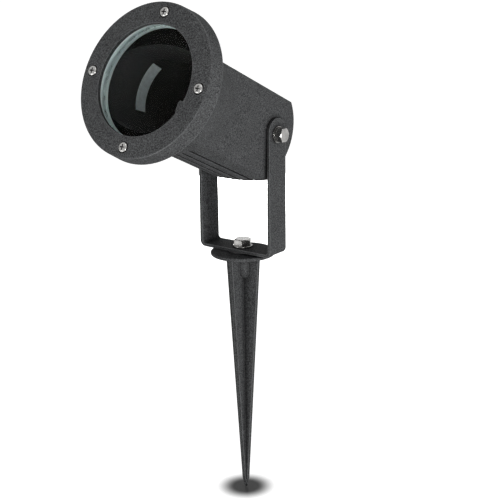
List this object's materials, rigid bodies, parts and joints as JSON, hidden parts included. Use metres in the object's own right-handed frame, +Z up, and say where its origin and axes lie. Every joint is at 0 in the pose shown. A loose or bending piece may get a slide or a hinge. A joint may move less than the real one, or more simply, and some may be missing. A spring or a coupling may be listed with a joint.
{
  "type": "garden spike spotlight",
  "caption": "Round-bezel spotlight head tilting in a U-shaped strap bracket that swivels on a cross-bladed ground spike.",
  "frame": {"origin": "centre of the spike flange's underside, where the flange meets the ground", "axes": "+Z up along the spike, X along the head's hinge axis, the head looks toward -Y and upward"},
  "size_m": [0.0912, 0.1437, 0.3181],
  "materials": {
    "cast_powder_coat": "anthracite sand-textured powder coat on die-cast aluminium",
    "strap_powder_coat": "anthracite powder coat on steel strap",
    "stainless": "bright stainless",
    "gasket_silicone": "pale grey silicone",
    "black_rubber": "matte",
    "friction_washer": "black nylon",
    "glass": "clear tempered float glass",
    "steatite": "unglazed white steatite",
    "brass": "plain",
    "terminal_plastic": "natural nylon",
    "gland_plastic": "black nylon",
    "label_film": "silver-grey printed film, left without words"
  },
  "bodies": {
    "spike_base": {"spike": "cast_powder_coat", "swivel_bolt": "stainless", "swivel_washer": "stainless", "swivel_friction_washer": "friction_washer"},
    "bracket": {"bracket": "strap_powder_coat"},
    "head": {"housing": "cast_powder_coat", "bezel_ring": "cast_powder_coat", "bezel_screws": "stainless", "glass_gasket": "gasket_silicone", "glass_lens": "glass", "rating_label": "label_film", "lamp_holder": "steatite", "lamp_holder_contacts": "brass", "lamp_holder_plate": "stainless", "lamp_holder_screws": "stainless", "plate_screws": "stainless", "terminal_block": "terminal_plastic", "terminal_screws": "brass", "earth_screw": "stainless", "earth_tag": "brass", "cable_gland_body": "gland_plastic", "gland_washer": "black_rubber", "gland_seal": "black_rubber", "gland_nut": "gland_plastic", "gland_locknut": "gland_plastic", "pivot_bolts": "stainless", "pivot_spring_washers": "stainless", "pivot_washers": "stainless", "pivot_friction_washers": "friction_washer"}
  },
  "joints": [
    {"name": "bracket_swivel", "type": "hinge", "parent": "spike_base", "child": "bracket", "pos_m": [0, 0, 0.0031], "axis": [0, 0, 1], "continuous": true},
    {"name": "head_tilt", "type": "hinge", "parent": "bracket", "child": "head", "pos_m": [0, 0, 0.0781], "axis": [-1, 0, 0], "range_deg": [-72, 201]}
  ]
}
